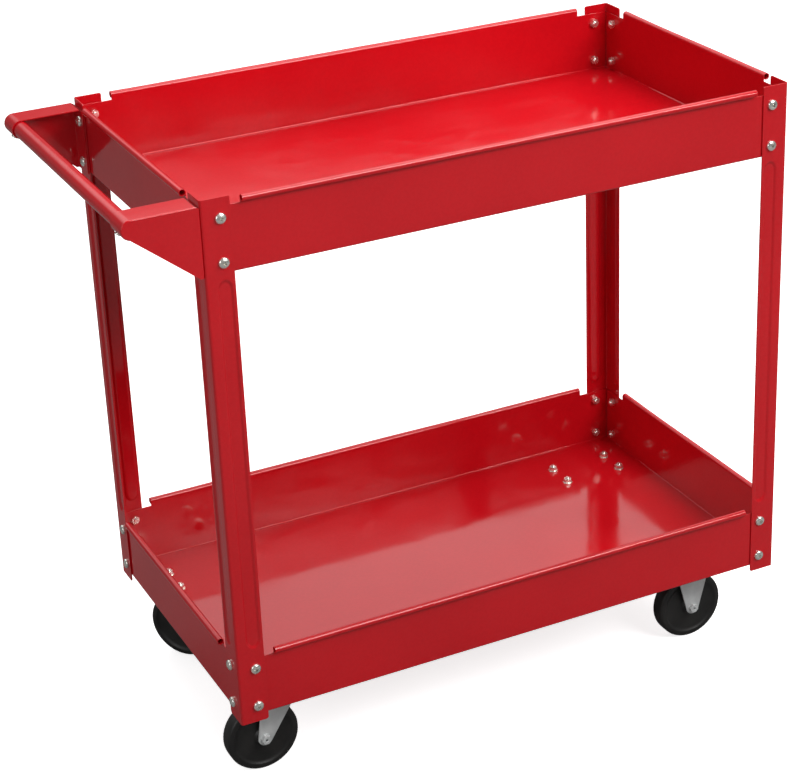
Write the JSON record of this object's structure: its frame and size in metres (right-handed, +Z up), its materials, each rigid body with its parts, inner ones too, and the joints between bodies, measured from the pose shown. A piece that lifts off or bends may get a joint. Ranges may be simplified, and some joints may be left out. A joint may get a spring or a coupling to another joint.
{
  "type": "tool cart",
  "caption": "Steel service cart with upper and lower rolled-rim trays, ribbed angle legs, a push handle, swivel casters under the handle end and fixed casters at the far end.",
  "frame": {"origin": "on the floor, under the middle of the cart's outline", "axes": "+X along the cart's length away from the push handle, +Y towards its back long side, +Z up"},
  "size_m": [0.8579, 0.4362, 0.7905],
  "materials": {
    "red_powder_coat": "glossy red powder coat on steel sheet",
    "zinc_plate": "satin zinc-plated pressed steel",
    "bright_zinc": "bright zinc-plated steel fastener",
    "black_wheel": "satin black solid wheel"
  },
  "bodies": {
    "cart": {"top_tray": "red_powder_coat", "bottom_tray": "red_powder_coat", "leg_front_left": "red_powder_coat", "leg_back_left": "red_powder_coat", "leg_front_right": "red_powder_coat", "leg_back_right": "red_powder_coat", "handle_bracket_front": "red_powder_coat", "handle_bracket_back": "red_powder_coat", "handle_tube": "red_powder_coat", "handle_screw_front": "bright_zinc", "handle_screw_back": "bright_zinc", "bolt_top_front_left_side_upper": "bright_zinc", "bolt_top_front_left_side_lower": "bright_zinc", "bolt_top_front_left_end_upper": "bright_zinc", "bolt_top_front_left_end_lower": "bright_zinc", "bolt_top_back_left_side_upper": "bright_zinc", "bolt_top_back_left_side_lower": "bright_zinc", "bolt_top_back_left_end_upper": "bright_zinc", "bolt_top_back_left_end_lower": "bright_zinc", "bolt_top_front_right_side_upper": "bright_zinc", "bolt_top_front_right_side_lower": "bright_zinc", "bolt_top_front_right_end_upper": "bright_zinc", "bolt_top_front_right_end_lower": "bright_zinc", "bolt_top_back_right_side_upper": "bright_zinc", "bolt_top_back_right_side_lower": "bright_zinc", "bolt_top_back_right_end_upper": "bright_zinc", "bolt_top_back_right_end_lower": "bright_zinc", "bolt_bottom_front_left_side_upper": "bright_zinc", "bolt_bottom_front_left_side_lower": "bright_zinc", "bolt_bottom_front_left_end_upper": "bright_zinc", "bolt_bottom_front_left_end_lower": "bright_zinc", "bolt_bottom_back_left_side_upper": "bright_zinc", "bolt_bottom_back_left_side_lower": "bright_zinc", "bolt_bottom_back_left_end_upper": "bright_zinc", "bolt_bottom_back_left_end_lower": "bright_zinc", "bolt_bottom_front_right_side_upper": "bright_zinc", "bolt_bottom_front_right_side_lower": "bright_zinc", "bolt_bottom_front_right_end_upper": "bright_zinc", "bolt_bottom_front_right_end_lower": "bright_zinc", "bolt_bottom_back_right_side_upper": "bright_zinc", "bolt_bottom_back_right_side_lower": "bright_zinc", "bolt_bottom_back_right_end_upper": "bright_zinc", "bolt_bottom_back_right_end_lower": "bright_zinc", "fixed_caster_front_bracket": "zinc_plate", "fixed_caster_front_axle": "bright_zinc", "fixed_caster_back_bracket": "zinc_plate", "fixed_caster_back_axle": "bright_zinc", "swivel_caster_front_plate": "zinc_plate", "swivel_caster_front_kingpin": "zinc_plate", "swivel_caster_back_plate": "zinc_plate", "swivel_caster_back_kingpin": "zinc_plate"},
    "fixed_wheel_front": {"fixed_caster_front_wheel": "black_wheel"},
    "fixed_wheel_back": {"fixed_caster_back_wheel": "black_wheel"},
    "swivel_fork_front": {"swivel_caster_front_fork": "zinc_plate", "swivel_caster_front_axle": "bright_zinc"},
    "swivel_wheel_front": {"swivel_caster_front_wheel": "black_wheel"},
    "swivel_fork_back": {"swivel_caster_back_fork": "zinc_plate", "swivel_caster_back_axle": "bright_zinc"},
    "swivel_wheel_back": {"swivel_caster_back_wheel": "black_wheel"}
  },
  "joints": [
    {"name": "fixed_wheel_front_roll", "type": "hinge", "parent": "cart", "child": "fixed_wheel_front", "pos_m": [0.34029, -0.1335, 0.0475], "axis": [0, 1, 0], "continuous": true},
    {"name": "fixed_wheel_back_roll", "type": "hinge", "parent": "cart", "child": "fixed_wheel_back", "pos_m": [0.34029, 0.1335, 0.0475], "axis": [0, 1, 0], "continuous": true},
    {"name": "swivel_caster_front_turn", "type": "hinge", "parent": "cart", "child": "swivel_fork_front", "pos_m": [-0.25071, -0.1335, 0.1], "axis": [0, 0, 1], "continuous": true},
    {"name": "swivel_wheel_front_roll", "type": "hinge", "parent": "swivel_fork_front", "child": "swivel_wheel_front", "pos_m": [-0.28671, -0.1335, 0.0475], "axis": [0, 1, 0], "continuous": true},
    {"name": "swivel_caster_back_turn", "type": "hinge", "parent": "cart", "child": "swivel_fork_back", "pos_m": [-0.25071, 0.1335, 0.1], "axis": [0, 0, 1], "continuous": true},
    {"name": "swivel_wheel_back_roll", "type": "hinge", "parent": "swivel_fork_back", "child": "swivel_wheel_back", "pos_m": [-0.27385, 0.16108, 0.0475], "axis": [0.766, 0.6428, 0], "continuous": true}
  ]
}
